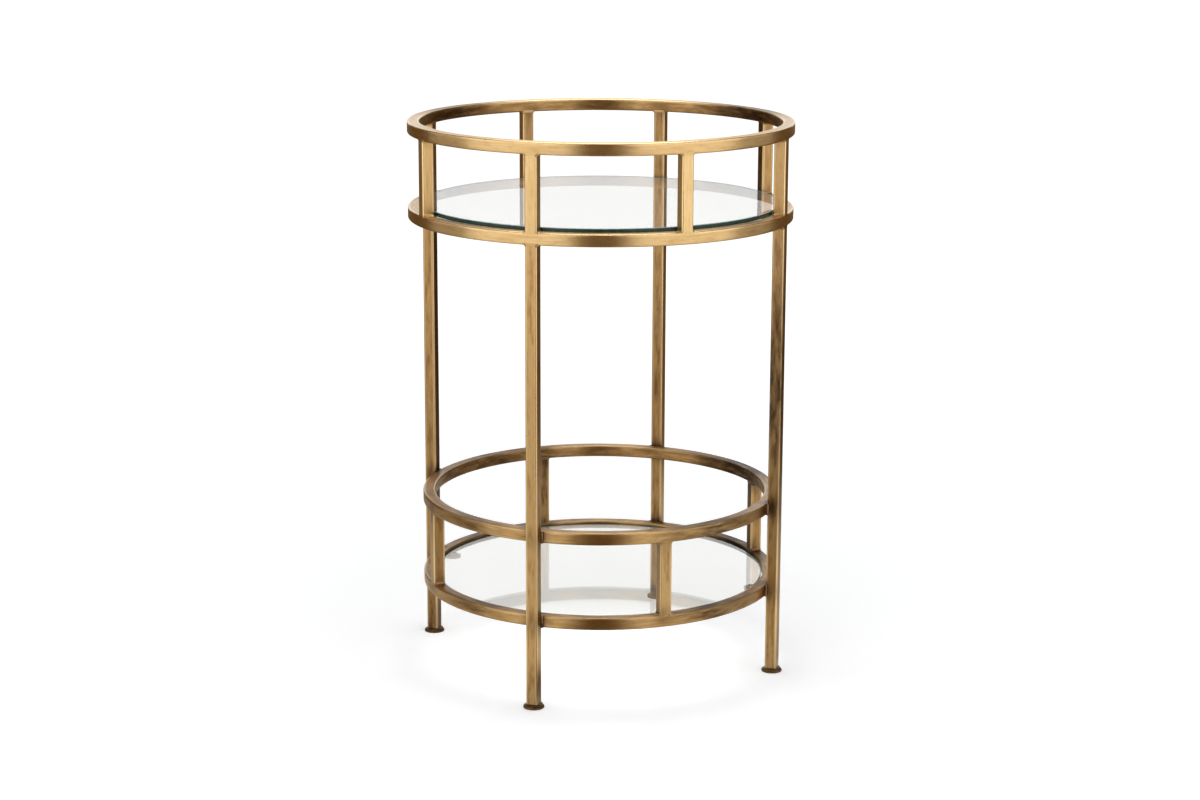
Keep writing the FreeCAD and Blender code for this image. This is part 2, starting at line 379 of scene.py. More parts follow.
# Antiqued brass on the rolled rings: warm yellow metal under uneven brown, with shade painted browner on the
# inner wall and underside; paler on the upper corners, partly rubbed by hands and partly a painted highlight;
# dull where welds burnt it. The brushing runs round the ring and stretches each reflection across the tube,
# and a thin lacquer whitens it slightly at a shallow angle.
RING_BRASS = PatinatedBrass(
    name="brushed_antiqued_brass", base="#F0D098", tints=(
        Tint(Mark.TONE, "#E0BD80", 0.42, 0.62, 0.60),
        Tint(Mark.BAND, "#C8935A", 0.52, 0.70, 0.30),
        Tint(Mark.BAND, "#BEA264", 0.48, 0.32, 0.30),
        Tint(Mark.PATCH, "#B98C52", 0.50, 0.70, 0.35),
        Tint(Mark.STREAK, "#A0783F", 0.54, 0.78, 0.35),
        Tint(Mark.SPECK, "#6B4A22", 0.62, 0.76, 0.35),
        *AGEING,
    ), smooth=0.31, rough=0.42, lacquer=0.20, relief=0.12 * MM, grain=GrainFrom.TUBE, brushing=0.78,
    polish=0.10)
# The same brass on the straight posts and legs, which a soft mop left more satin: blotches in place of brush
# lines, and cleaner reflections, so that each face keeps its own tone.
BAR_BRASS = PatinatedBrass(
    name="mopped_antiqued_brass", base="#ECCC92", tints=(
        Tint(Mark.TONE, "#DCBA7E", 0.42, 0.62, 0.55),
        Tint(Mark.BLOTCH, "#C0935A", 0.50, 0.68, 0.35),
        Tint(Mark.BLOTCH, "#B59E5C", 0.47, 0.33, 0.40),
        Tint(Mark.STREAK, "#A0783F", 0.54, 0.78, 0.25),
        Tint(Mark.SPECK, "#6B4A22", 0.60, 0.76, 0.40),
        *AGEING,
    ), smooth=0.28, rough=0.38, lacquer=0.35, relief=0.10 * MM, grain=GrainFrom.TUBE, brushing=0.30,
    polish=0.06)
# The same brass on the small tabs, cut from strip and left unpolished, so it looks browner and flatter.
STRIP_BRASS = PatinatedBrass(
    name="antiqued_strip_brass", base="#B08A4C", tints=(
        Tint(Mark.BLOTCH, "#8A6430", 0.45, 0.65, 0.50),
        Tint(Mark.SPECK, "#5C3D1C", 0.60, 0.76, 0.45),
    ), smooth=0.42, rough=0.55, lacquer=0.5, relief=0.08 * MM, grain=GrainFrom.PLACE)
# Weld metal and foot discs, burnt dark brown by heat and patina, with pale specks and rubbed high spots that
# are partly wear and partly painted glints.
BURNT_BRASS = PatinatedBrass(
    name="heat_darkened_brass", base="#523819", tints=(
        Tint(Mark.PATCH, "#2C1C0C", 0.42, 0.60, 0.85),
        Tint(Mark.SPECK, "#A07A42", 0.60, 0.74, 0.50),
        Tint(Mark.WEAR, "#B48C50", 0.20, 1.00, 0.60),
    ), smooth=0.40, rough=0.58, lacquer=0.4, relief=0.3 * MM, grain=GrainFrom.PLACE)


@dataclass(frozen=True)
class FloatGlass:
    """Clear soda-lime float glass: nearly colourless through its faces, with a faint haze.

    Attributes:
        name: the material's name.
        body: colour that light takes on through it, with a trace of green.
        clear: share of the light that no dust or polishing haze scatters.
        haze: roughness in the haziest places.
        haze_size: how wide those places are, in millimetres.
        hazy: values of the noise at which the haze begins and is full.
    """

    name: str = "clear_float_glass"
    body: str = "#F8F9F6"
    clear: float = 0.95
    haze: float = 0.02
    haze_size: float = 60.0
    hazy: tuple[float, float] = (0.45, 0.75)

    def make(self) -> bpy.types.Material:
        """Builds the material.

        Returns:
            The finished material.
        """
        material, tree = blank_material(self.name)
        place = add_node(tree, "TexCoord").outputs["Object"]
        haze = ramp(tree, cloud(tree, place, self.haze_size), *self.hazy, high=self.haze)
        add_surface(tree, {
            "Base Color": linear(self.body), "Roughness": haze, "IOR": GLASS_IOR,
            "Transmission Weight": self.clear})
        return material


@dataclass(frozen=True)
class GroundGlass:
    """The worked rim of a glass disc, where the grinding wheel left fine marks.

    Attributes:
        name: the material's name.
        deep: colour between the marks.
        pale: colour on the marks.
        gloss: roughness of the ground surface.
        mark_size: how wide the wheel's marks are, in millimetres, drawn coarser than the real grit.
        marked: values of the noise at which a mark begins and is full.
        detail: how many finer noises are laid over it.
    """

    name: str
    deep: str
    pale: str
    gloss: float
    mark_size: float = 3.0
    marked: tuple[float, float] = (0.35, 0.75)
    detail: float = 3.0

    def make(self) -> bpy.types.Material:
        """Builds the material.

        Returns:
            The finished material.
        """
        material, tree = blank_material(self.name)
        place = add_node(tree, "TexCoord").outputs["Object"]
        share = ramp(tree, cloud(tree, place, self.mark_size, self.detail), *self.marked)
        colour = blend(tree, share, linear(self.deep), linear(self.pale))
        add_surface(tree, {"Base Color": colour, "Roughness": self.gloss, "IOR": GLASS_IOR})
        return material


# The rim is painted an opaque deep blue-green, standing in for light that enters it, runs the width of the
# disc and loses all but that colour.
GLASS_RIM = GroundGlass("ground_glass_rim", deep="#17372F", pale="#23504A", gloss=0.22)
# The small bevels along the rim stay frosted and pale bluish, a colour that also paints the bright line of
# light along the glass's edge.
GLASS_ARRIS = GroundGlass("frosted_arris_painted_highlight", deep="#8FA9AA", pale="#C3D6D6", gloss=0.35)


@dataclass(frozen=True)
class SoftVinyl:
    """Moulded clear vinyl, slightly milky, with a soft gloss.

    Attributes:
        name: the material's name.
        body: colour of the clear vinyl.
        milk: colour where it is cloudy.
        cloud_size: how wide the cloudy places are, in millimetres.
        gloss: roughness of its skin.
        clear: share of the light that passes into it.
    """

    name: str = "moulded_clear_vinyl"
    body: str = "#D5DAD3"
    milk: str = "#B9C0B6"
    cloud_size: float = 3.0
    gloss: float = 0.28
    clear: float = 0.75

    def make(self) -> bpy.types.Material:
        """Builds the material.

        Returns:
            The finished material.
        """
        material, tree = blank_material(self.name)
        place = add_node(tree, "TexCoord").outputs["Object"]
        colour = blend(tree, cloud(tree, place, self.cloud_size), linear(self.body), linear(self.milk))
        add_surface(tree, {
            "Base Color": colour, "Roughness": self.gloss, "IOR": VINYL_IOR,
            "Transmission Weight": self.clear})
        return material


class Finish(Enum):
    """The materials of the table, by the place that they have on it."""

    RING = RING_BRASS
    BAR = BAR_BRASS
    STRIP = STRIP_BRASS
    BURNT = BURNT_BRASS
    GLASS = FloatGlass()
    RIM = GLASS_RIM
    ARRIS = GLASS_ARRIS
    VINYL = SoftVinyl()

    def material(self) -> bpy.types.Material:
        """Gives the finish's material, made when it is first asked for."""
        return bpy.data.materials.get(self.value.name) or self.value.make()


class HeatAndShadeSpot(NamedTuple):
    """A place drawn darker on the metal: where welding or patina darkened it, or where shade is painted.

    Attributes:
        place: its middle.
        reach: how far the dark goes.
        strength: how dark its middle is, from 0 to 1.
    """

    place: Vector
    reach: float
    strength: float


def heat_and_shade_from(spots: Sequence[HeatAndShadeSpot]) -> HeatAndShadeRule:
    """Makes the rule that gives each point of a piece how dark welds and painted shade make it.

    Args:
        spots: the dark places near the piece.

    Returns:
        A function of a point, from 0 to 1.
    """
    def heat_and_shade(point: Vector) -> float:
        """Adds up the spots' dark at a point, up to 1."""
        away = (((point - spot.place).length / spot.reach, spot.strength) for spot in spots)
        return min(1.0, sum(strength * math.exp(-share ** 2) for share, strength in away))
    return heat_and_shade


NO_HEAT_AND_SHADE = heat_and_shade_from(())


@dataclass
class Skin:
    """A closed mesh being gathered, with what its finish needs to know at each point.

    Attributes:
        points: its vertices.
        faces: its faces, as vertex numbers.
        grain: for each face corner, how far along and around the tube it lies, in metres.
        marks: for each point, how dark welds and painted shade made it, how brown patina and painted shade
            made it, and how pale rubbing and painted highlights made it.
        finish: for each face, the number of its material.
    """

    points: list[Vector] = field(default_factory=list)
    faces: list[tuple[int, ...]] = field(default_factory=list)
    grain: list[tuple[float, float]] = field(default_factory=list)
    marks: dict[Mark, list[float]] = field(
        default_factory=lambda: {Mark.HEAT_AND_SHADE: [], Mark.TARNISH: [], Mark.WEAR: []})
    finish: list[int] = field(default_factory=list)

    def sweep(self, loops: Sequence[Loop], start: float = 0.0, wear: Sequence[float] = (),
              heat_and_shade: HeatAndShadeRule = NO_HEAT_AND_SHADE, tarnish: Sequence[float] = (), closed: bool = False,
              finishes: Sequence[int] = ()) -> None:
        """Joins loops of points into a skin, and closes its two ends unless it runs round into itself.

        Args:
            loops: loops with as many points each.
            start: grain position of the first loop, which sets pieces apart.
            wear: rubbing and painted highlight at each point of a loop; all 0 if empty.
            heat_and_shade: gives the dark of welds and painted shade at a point.
            tarnish: how brown each point of a loop is, painted shade included; all 0 if empty.
            closed: whether the last loop joins the first.
            finishes: material of each band between two loops; all 0 if empty.
        """
        base, count = len(self.points), len(loops[0])
        for loop in loops:
            self.points.extend(loop)
            self.marks[Mark.WEAR].extend(wear or [0.0] * count)
            self.marks[Mark.HEAT_AND_SHADE].extend(heat_and_shade(point) for point in loop)
            self.marks[Mark.TARNISH].extend(tarnish or [0.0] * count)
        middles = [sum(loop, Vector()) / count for loop in loops]
        nexts = [*range(1, len(loops)), 0]
        gaps = (max((loops[after][0] - loops[step][0]).length, (middles[after] - middles[step]).length)
                for step, after in enumerate(nexts))
        along = list(accumulate(gaps, initial=start))
        sides = ((loops[0][(spot + 1) % count] - loops[0][spot]).length for spot in range(count))
        around = list(accumulate(sides, initial=0.0))
        for step in range(len(loops) if closed else len(loops) - 1):
            near, far = base + step * count, base + nexts[step] * count
            for spot in range(count):
                after = (spot + 1) % count
                self.faces.append((near + spot, near + after, far + after, far + spot))
                self.grain.extend(((along[step], around[spot]), (along[step], around[spot + 1]),
                                   (along[step + 1], around[spot + 1]), (along[step + 1], around[spot])))
                self.finish.append(finishes[step] if finishes else 0)
        if not closed:
            for number, middle in ((0, middles[0]), (len(loops) - 1, middles[-1])):
                self.close_end(base + number * count, count, middle, along[number], heat_and_shade(middle))

    def close_end(self, first: int, count: int, middle: Vector, along: float, heat_and_shade: float) -> None:
        """Closes one end of a skin with a fan of faces.

        Args:
            first: number of the end loop's first point.
            count: how many points the loop has.
            middle: the fan's middle point.
            along: grain position of the end.
            heat_and_shade: heat at the middle.
        """
        centre = len(self.points)
        self.points.append(middle)
        self.marks[Mark.HEAT_AND_SHADE].append(heat_and_shade)
        self.marks[Mark.TARNISH].append(self.marks[Mark.TARNISH][first])
        self.marks[Mark.WEAR].append(0.0)
        for spot in range(count):
            corners = (first + spot, first + (spot + 1) % count, centre)
            self.faces.append(corners)
            self.grain.extend((along, (self.points[corner] - middle).length) for corner in corners)
            self.finish.append(0)

    def shape(self, name: str, finishes: Sequence[Finish]) -> bpy.types.Object:
        """Turns what was gathered into an object.

        Args:
            name: the piece's name.
            finishes: its materials, by number.

        Returns:
            The object, in the scene.
        """
        mesh = bpy.data.meshes.new(name)
        mesh.from_pydata(self.points, [], self.faces)
        mesh.uv_layers.new(name=GRAIN).data.foreach_set("uv", [x for pair in self.grain for x in pair])
        for mark, values in self.marks.items():
            mesh.attributes.new(mark.value, "FLOAT", "POINT").data.foreach_set("value", values)
        mesh.polygons.foreach_set("material_index", self.finish)
        for finish in finishes:
            mesh.materials.append(finish.material())
        work = bmesh.new()
        work.from_mesh(mesh)
        bmesh.ops.recalc_face_normals(work, faces=work.faces)
        for face in work.faces:
            face.smooth = True
        for edge in work.edges:
            edge.smooth = edge.calc_face_angle(0.0) < SHARP_ANGLE
        work.to_mesh(mesh)
        work.free()
        piece = bpy.data.objects.new(name, mesh)
        bpy.context.scene.collection.objects.link(piece)
        return piece


def seat(piece: bpy.types.Object, body: str, nodes: Sequence[str]) -> None:
    """Joins a finished piece to the frame and reports it.

    Args:
        piece: the piece.
        body: the body that it moves with.
        nodes: the nodes that it stands for, if any.
    """
    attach(piece, body)
    if nodes:
        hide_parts(*nodes)
    log.info("%s: %d faces, on %s", piece.name, len(piece.data.polygons), body)


def nodes_named(start: str) -> list[str]:
    """Lists the frame's nodes whose names start so."""
    return sorted(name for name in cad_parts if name.startswith(start))


def polar(radius: float, angle: float, height: float) -> Vector:
    """Gives the point at a radius, an angle from +X and a height."""
    return Vector((radius * math.cos(angle), radius * math.sin(angle), height))


def from_front(degrees: float) -> float:
    """Turns degrees to the right of the front into an angle from +X, in radians."""
    return math.radians(degrees - 90.0)


@dataclass(frozen=True)
class TubeSection:
    """The outline of square tube with rolled corners.

    Attributes:
        side: width across the flats.
        corner: outside radius of the corners.
        arc_steps: how many straight steps a corner has.
        rubbed: how far past a corner its rubbing and painted highlight fade.
        edge_wear_and_highlight: rubbing and painted highlight where a corner begins; in its middle it is 1.
    """

    side: float
    corner: float = 1.9 * MM
    arc_steps: int = 6
    rubbed: float = 1.2 * MM
    edge_wear_and_highlight: float = 0.4

    def outline(self) -> tuple[list[Vector], list[float]]:
        """Works out the outline.

        Returns:
            Its points about the tube's middle, in the XY plane, and at each how pale rubbing and a painted
            highlight make it.
        """
        half, flat = self.side / 2, self.side / 2 - self.corner
        corner = [(Vector((half, flat - self.rubbed, 0.0)), 0.0)]
        for step in range(self.arc_steps + 1):
            share = step / self.arc_steps
            turn = share * math.pi / 2
            arc = Vector((math.cos(turn), math.sin(turn), 0.0)) * self.corner
            # A corner is drawn paler: partly rubbing, partly a painted highlight.
            worn_and_highlit = self.edge_wear_and_highlight + (1.0 - self.edge_wear_and_highlight) * math.sin(share * math.pi)
            corner.append((Vector((flat, flat, 0.0)) + arc, worn_and_highlit))
        corner.append((Vector((flat - self.rubbed, half, 0.0)), 0.0))
        turns = [Matrix.Rotation(quarter * math.pi / 2, 3, "Z") for quarter in range(4)]
        points = [turn @ point for turn in turns for point, _ in corner]
        return points, [wear for _ in turns for _, wear in corner]

    def browning_and_shade(self, tarnish: float, inner_shade: float, top_tarnish: float = 0.0,
                 under_shade: float = 0.0) -> list[float]:
        """Works out how brown the tube is round its outline, with painted shade on its inner face and
        underside.

        Args:
            tarnish: how brown it is all round.
            inner_shade: how much browner its inner face is, on the outline's -X side, as painted shade.
            top_tarnish: how much browner its top face is, on the outline's +Y side.
            under_shade: how much browner its underside is, on the outline's -Y side, as painted shade.

        Returns:
            The tarnish and painted shade at each point of the outline.
        """
        edge = self.side / 2 - self.corner / 2
        return [tarnish + inner_shade * (point.x < -edge) + top_tarnish * (point.y > edge)
                + under_shade * (point.y < -edge) for point in self.outline()[0]]


@dataclass
class Upright:
    """A straight leg or post of square tube, read from its node.

    Attributes:
        node: the node's name.
        number: its place in the order of uprights, which sets its grain apart.
        tarnish: how brown the patina left it.
        inner_shade: how much browner its inner face is drawn, as painted shade.
        heat_and_shade: where welding darkened it, and where shade is painted on it.
        step: length of the mesh's steps along it.
        grain_gap: how far apart on the grain map two uprights start.
        radius: distance of its middle line from the table's axis.
        angle: its angle from +X, in radians.
        low: height of its lower end.
        high: height of its upper end.
    """

    node: str
    number: int
    tarnish: float
    inner_shade: float = 0.5
    heat_and_shade: list[HeatAndShadeSpot] = field(default_factory=list)
    step: float = 5.0 * MM
    grain_gap: float = 0.713
    radius: float = field(init=False)
    angle: float = field(init=False)
    low: float = field(init=False)
    high: float = field(init=False)

    def __post_init__(self) -> None:
        """Reads the upright's place from its node."""
        low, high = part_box(self.node)
        middle = (low + high) / 2
        self.radius, self.angle = math.hypot(middle.x, middle.y), math.atan2(middle.y, middle.x)
        self.low, self.high = low.z, high.z

    def build(self, section: TubeSection) -> None:
        """Makes and dresses the upright.

        Args:
            section: the tube's outline.
        """
        outline, wear = section.outline()
        turn = Matrix.Rotation(self.angle, 3, "Z")
        count = max(2, round((self.high - self.low) / self.step))
        loops = []
        for step in range(count + 1):
            middle = polar(self.radius, self.angle, self.low + (self.high - self.low) * step / count)
            loops.append([turn @ point + middle for point in outline])
        skin = Skin()
        # Painted shade: the inner face is drawn browner.
        tarnish = section.browning_and_shade(self.tarnish, self.inner_shade)
        skin.sweep(loops, self.number * self.grain_gap, wear, heat_and_shade_from(self.heat_and_shade), tarnish)
        seat(skin.shape(self.node + "_tube", [Finish.BAR]), "frame", [self.node])


@dataclass
class Ring:
    """A ring of square tube, rolled from one length and butt welded.

    Attributes:
        node: the node's name.
        seam: angle of the butt weld from +X, in degrees.
        number: a number of its own, which sets its grain apart.
        tarnish: how brown the patina left it.
        inner_shade: how much browner its inner wall is drawn, as painted shade.
        top_tarnish: how much browner its top face is.
        rubbed: how far its upper corners are drawn paler, partly rubbed bright and partly a painted
            highlight.
        under_shade: how much browner its underside is drawn, as painted shade.
        seam_heat: how dark the butt weld is.
        seam_reach: how far that dark goes.
        heat_and_shade: where welding darkened it, and where the tier's darker places lie.
        steps: how many steps the mesh has round the ring.
        grain_gap: how far apart on the grain map two rings start.
        low: height of its underside.
        high: height of its top face.
        outer: its outside radius.
        section: the tube's outline.
    """

    node: str
    seam: float
    number: int
    tarnish: float
    inner_shade: float
    top_tarnish: float
    rubbed: float
    under_shade: float = 0.55
    seam_heat: float = 0.5
    seam_reach: float = 5.0 * MM
    heat_and_shade: list[HeatAndShadeSpot] = field(default_factory=list)
    steps: int = 288
    grain_gap: float = 1.37
    low: float = field(init=False)
    high: float = field(init=False)
    outer: float = field(init=False)
    section: TubeSection = field(init=False)

    def __post_init__(self) -> None:
        """Reads the ring's place from its node."""
        low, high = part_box(self.node)
        self.low, self.high, self.outer = low.z, high.z, high.x
        self.section = TubeSection(high.z - low.z)
        weld = self.outer_point(math.radians(self.seam))
        self.heat_and_shade.append(HeatAndShadeSpot(weld, self.seam_reach, self.seam_heat))

    def outer_point(self, angle: float) -> Vector:
        """Gives the middle of the outer wall at an angle from +X."""
        return polar(self.outer, angle, (self.low + self.high) / 2)

    def build(self) -> None:
        """Makes and dresses the ring."""
        outline, wear = self.section.outline()
        radius, middle = self.outer - self.section.side / 2, (self.low + self.high) / 2
        loops = []
        for step in range(self.steps):
            angle = math.radians(self.seam) + 2 * math.pi * step / self.steps
            loops.append([polar(radius + point.x, angle, middle + point.y) for point in outline])
        skin = Skin()
        # Painted shade: the inner wall and the underside are drawn browner.
        tarnish = self.section.browning_and_shade(
            self.tarnish, self.inner_shade, self.top_tarnish, self.under_shade)
        # Only the upper corners are drawn paler: rubbing, and a highlight painted along the top edges.
        wear = [level * self.rubbed * (point.y > 0.0) for point, level in zip(outline, wear)]
        skin.sweep(loops, self.number * self.grain_gap, wear, heat_and_shade_from(self.heat_and_shade), tarnish, closed=True)
        seat(skin.shape(self.node + "_tube", [Finish.RING]), "frame", [self.node])


class TeeSide(Enum):
    """On which side of a ring an upright ends; the value is the way from its end to the ring."""

    UNDER = 1
    OVER = -1


@dataclass
class TeeWelds:
    """The welds where uprights end on a ring: hollow fillets in the two inner corners, ground flush in front.

    Attributes:
        ring: the ring.
        ends: each upright that ends there, and its side of the ring.
        fillet: mean radius of the hollow fillets.
        spread: how much that radius varies from weld to weld.
        vary: angle in radians that the wave of this variation turns from weld to weld.
        proud: how far the ground metal stands over the tubes.
        rubbed: how far it is rubbed bright.
        arc_steps: how many straight steps a fillet has.
        grain_gap: how far apart on the grain map two welds start.
    """

    ring: Ring
    ends: list[tuple[Upright, TeeSide]]
    fillet: float = 2.3 * MM
    spread: float = 0.4 * MM
    vary: float = 2.4
    proud: float = 0.03 * MM
    rubbed: float = 0.1
    arc_steps: int = 6
    grain_gap: float = 0.31

    def build(self) -> None:
        """Makes and dresses the welds of this ring as one piece."""
        skin = Skin()
        for number, (upright, side) in enumerate(self.ends):
            radius = self.fillet + self.spread * math.sin(self.vary * number)
            self.add_weld(skin, upright, side, radius)
        piece = skin.shape(self.ring.node + "_tee_welds", [Finish.BAR])
        seat(piece, "frame", [])

    def add_weld(self, skin: Skin, upright: Upright, side: TeeSide, fillet: float) -> None:
        """Adds one weld, as tee-shaped outlines set along the radius and drawn in at the two rounded ends.

        Args:
            skin: the mesh that it joins.
            upright: the upright that ends at the ring.
            side: the side of the ring.
            fillet: radius of the hollow fillets.
        """
        section = self.ring.section
        face = self.ring.low if side is TeeSide.UNDER else self.ring.high
        turn = Matrix.Rotation(upright.angle, 3, "Z")
        half, corner = section.side / 2 + self.proud, section.corner
        rounding = [math.pi / 2 * step / section.arc_steps for step in range(section.arc_steps + 1)]
        insets = [(corner * (1 - math.cos(turned)), corner * (1 - math.sin(turned))) for turned in rounding]
        stations = [(upright.radius - half + depth, inset) for depth, inset in insets]
        stations += [(upright.radius + half - depth, inset) for depth, inset in reversed(insets)]
        loops = []
        for reach, inset in stations:
            outline = self.tee_outline(half - inset, inset, fillet)
            loops.append([turn @ Vector((reach, across, 0.0)) + Vector((0.0, 0.0, face + side.value * rise))
                          for across, rise in outline])
        count = len(loops[0])
        skin.sweep(loops, self.grain_gap * upright.number, [self.rubbed] * count, heat_and_shade_from(upright.heat_and_shade),
                   [upright.tarnish] * count)

    def tee_outline(self, half: float, inset: float, fillet: float) -> list[tuple[float, float]]:
        """Works out the outline of a weld at one place along the radius.

        Args:
            half: half the upright's width there.
            inset: how far the ring's face is drawn back there.
            fillet: radius of the hollow fillets.

        Returns:
            Points across the upright and up from the ring's face towards the ring.
        """
        top = self.ring.section.corner + self.proud
        right = []
        for step in range(self.arc_steps + 1):
            turn = math.pi - math.pi / 2 * step / self.arc_steps
            right.append((half + fillet + fillet * math.cos(turn), inset - fillet + fillet * math.sin(turn)))
        right.append((half + fillet, top + self.proud))
        return right + [(-across, rise) for across, rise in reversed(right)]


class DarkerPlace(NamedTuple):
    """A place on a tier's rings that is drawn darker and browner.

    Attributes:
        angle: its angle from +X, in degrees.
        reach: how far it goes along the ring.
        strength: how dark its middle is, from 0 to 1.
    """

    angle: float
    reach: float
    strength: float


@dataclass
class Tier:
    """A gallery: two rings held apart by posts, with a weld at both ends of each post.

    Attributes:
        ring_nodes: the ring over the posts and the ring under them.
        seams: angle of each ring's butt weld from +X, in degrees.
        post_start: how the posts' names start.
        first_number: number of the tier's first upright.
        tarnish: how brown the patina left the tier.
        inner_shade: how much browner the rings' inner walls are drawn, as painted shade.
        top_tarnish: how much browner the top face of each ring is.
        darker_places: the places drawn darker on both rings.
        browned: how much browner single posts are, by node.
        rubbed: how far the rings' upper corners are drawn paler, partly rubbed bright and partly a painted
            highlight.
        spread: how much the brown varies from post to post.
        vary: angle in radians that the wave of this variation turns from post to post.
        tee_heat: how dark the metal is on the inside of a post's weld.
        outer_share: how dark it is on the outside, as a share of that.
        tee_reach: how far that dark goes.
        rings: the two rings.
        posts: the posts.
    """

    ring_nodes: tuple[str, str]
    seams: tuple[float, float]
    post_start: str
    first_number: int
    tarnish: float
    inner_shade: float
    top_tarnish: tuple[float, float]
    darker_places: tuple[DarkerPlace, ...]
    browned: dict[str, float]
    rubbed: float = 1.0
    spread: float = 0.08
    vary: float = 2.1
    tee_heat: float = 0.30
    outer_share: float = 0.25
    tee_reach: float = 9.0 * MM
    rings: list[Ring] = field(init=False)
    posts: list[Upright] = field(init=False)

    def __post_init__(self) -> None:
        """Reads the tier's rings and posts from their nodes."""
        self.rings = []
        for place, (node, seam, top) in enumerate(zip(self.ring_nodes, self.seams, self.top_tarnish)):
            self.rings.append(Ring(node, seam, self.first_number + place, self.tarnish, self.inner_shade,
                                   top, self.rubbed))
        self.posts = []
        for place, node in enumerate(nodes_named(self.post_start)):
            tarnish = self.tarnish + self.browned.get(node, 0.0) + self.spread * math.sin(self.vary * place)
            self.posts.append(Upright(node, self.first_number + place, tarnish))

    def build(self, legs: Sequence[Upright]) -> None:
        """Makes and dresses the rings, the posts and their welds.

        Args:
            legs: the uprights that end under this tier's lower ring.
        """
        over, under = self.rings
        section = under.section
        for post in self.posts:
            for ring, level in ((over, over.low), (under, under.high)):
                for way, share in ((-1, 1.0), (1, self.outer_share)):
                    place = polar(post.radius + way * section.side / 2, post.angle, level)
                    spot = HeatAndShadeSpot(place, self.tee_reach, self.tee_heat * share)
                    ring.heat_and_shade.append(spot)
                    post.heat_and_shade.append(spot)
        for ring in self.rings:
            for darker_place in self.darker_places:
                place = ring.outer_point(math.radians(darker_place.angle))
                ring.heat_and_shade.append(HeatAndShadeSpot(place, darker_place.reach, darker_place.strength))
            ring.build()
        for post in self.posts:
            post.build(section)
        TeeWelds(over, [(post, TeeSide.UNDER) for post in self.posts]).build()
        ends = [(post, TeeSide.OVER) for post in self.posts] + [(leg, TeeSide.UNDER) for leg in legs]
        TeeWelds(under, ends).build()


@dataclass
class LegWelds:
    """The lumpy weld beads that hold a lower ring between the legs, two at each leg.

    Attributes:
        ring: the ring.
        node: the node that they stand for.
        size: mean reach of a bead on the ring and on the leg.
        thin_end: size at the ends of a bead, as a share of its middle.
        arch: stretch of a half wave that its size follows from end to end.
        lump: how far the beads' surface swells and sinks.
        ripple: length of a swelling along a bead.
        fine_lump: how far a second, finer swelling goes.
        fine_scale: how many times finer that is.
        crown: how far the middle of a bead's face stands out, as a share of its size.
        shoulder: the points beside the middle, as shares of the size and of the middle's height.
        toe_depth: how deep the toes are sunk into the ring and into the leg.
        noise_gaps: distances in the noise for each radian between legs and for each side of a leg.
        rubbed: how far each point round a bead is rubbed bright.
        steps: how many steps a bead has along its length.
    """

    ring: Ring
    node: str
    size: float = 2.7 * MM
    thin_end: float = 0.45
    arch: tuple[float, float] = (0.12, 0.88)
    lump: float = 0.55 * MM
    ripple: float = 2.6 * MM
    fine_lump: float = 0.22 * MM
    fine_scale: float = 1.9
    crown: float = 0.62
    shoulder: tuple[float, float] = (0.86, 0.36)
    toe_depth: tuple[float, float] = (0.5 * MM, 0.1 * MM)
    noise_gaps: tuple[float, float] = (7.0, 3.0)
    rubbed: tuple[float, ...] = (0.0, 0.0, 0.3, 1.0, 0.3, 0.0, 0.0)
    steps: int = 18

    def build(self, legs: Sequence[Upright]) -> None:
        """Makes and dresses the beads.

        Args:
            legs: the legs that the ring is welded to.
        """
        skin = Skin()
        for leg in legs:
            for side in (-1, 1):
                self.add_bead(skin, leg, side)
        seat(skin.shape(self.node + "_beads", [Finish.BURNT]), "frame", [self.node])

    def add_bead(self, skin: Skin, leg: Upright, side: int) -> None:
        """Adds the bead on one side of a leg, which runs up the height of the ring.

        Args:
            skin: the mesh that it joins.
            leg: the leg.
            side: 1 or -1, the leg's side.
        """
        turn = Matrix.Rotation(leg.angle, 3, "Z")
        half = self.ring.section.side / 2
        leg_gap, side_gap = self.noise_gaps
        first, last = self.arch
        loops = []
        for step in range(self.steps + 1):
            share = step / self.steps
            level = self.ring.low + (self.ring.high - self.ring.low) * share
            place = Vector((leg.angle * leg_gap, side * side_gap, level / self.ripple))
            arch = math.sin(math.pi * (first + (last - first) * share))
            swell = self.size + self.lump * noise.noise(place)
            swell *= self.thin_end + (1.0 - self.thin_end) * arch
            crown = self.crown * swell + self.fine_lump * noise.noise(place * self.fine_scale)
            loops.append([turn @ Vector((self.ring.outer + out, side * (half + across), level))
                          for across, out in self.bead_outline(swell, crown)])
        skin.sweep(loops, wear=self.rubbed)

    def bead_outline(self, swell: float, crown: float) -> list[tuple[float, float]]:
        """Works out the outline of a bead at one height.

        Args:
            swell: reach of the bead there.
            crown: how far the middle of its face stands out.

        Returns:
            Points out from the leg's flank and out from the ring's wall.
        """
        corner = self.ring.section.corner
        ring_depth, leg_depth = self.toe_depth
        wide, low = self.shoulder[0] * swell, self.shoulder[1] * crown
        return [(-corner, -corner), (swell, -ring_depth), (wide, low), (crown, crown), (low, wide),
                (-leg_depth, swell), (-corner, swell / 2)]


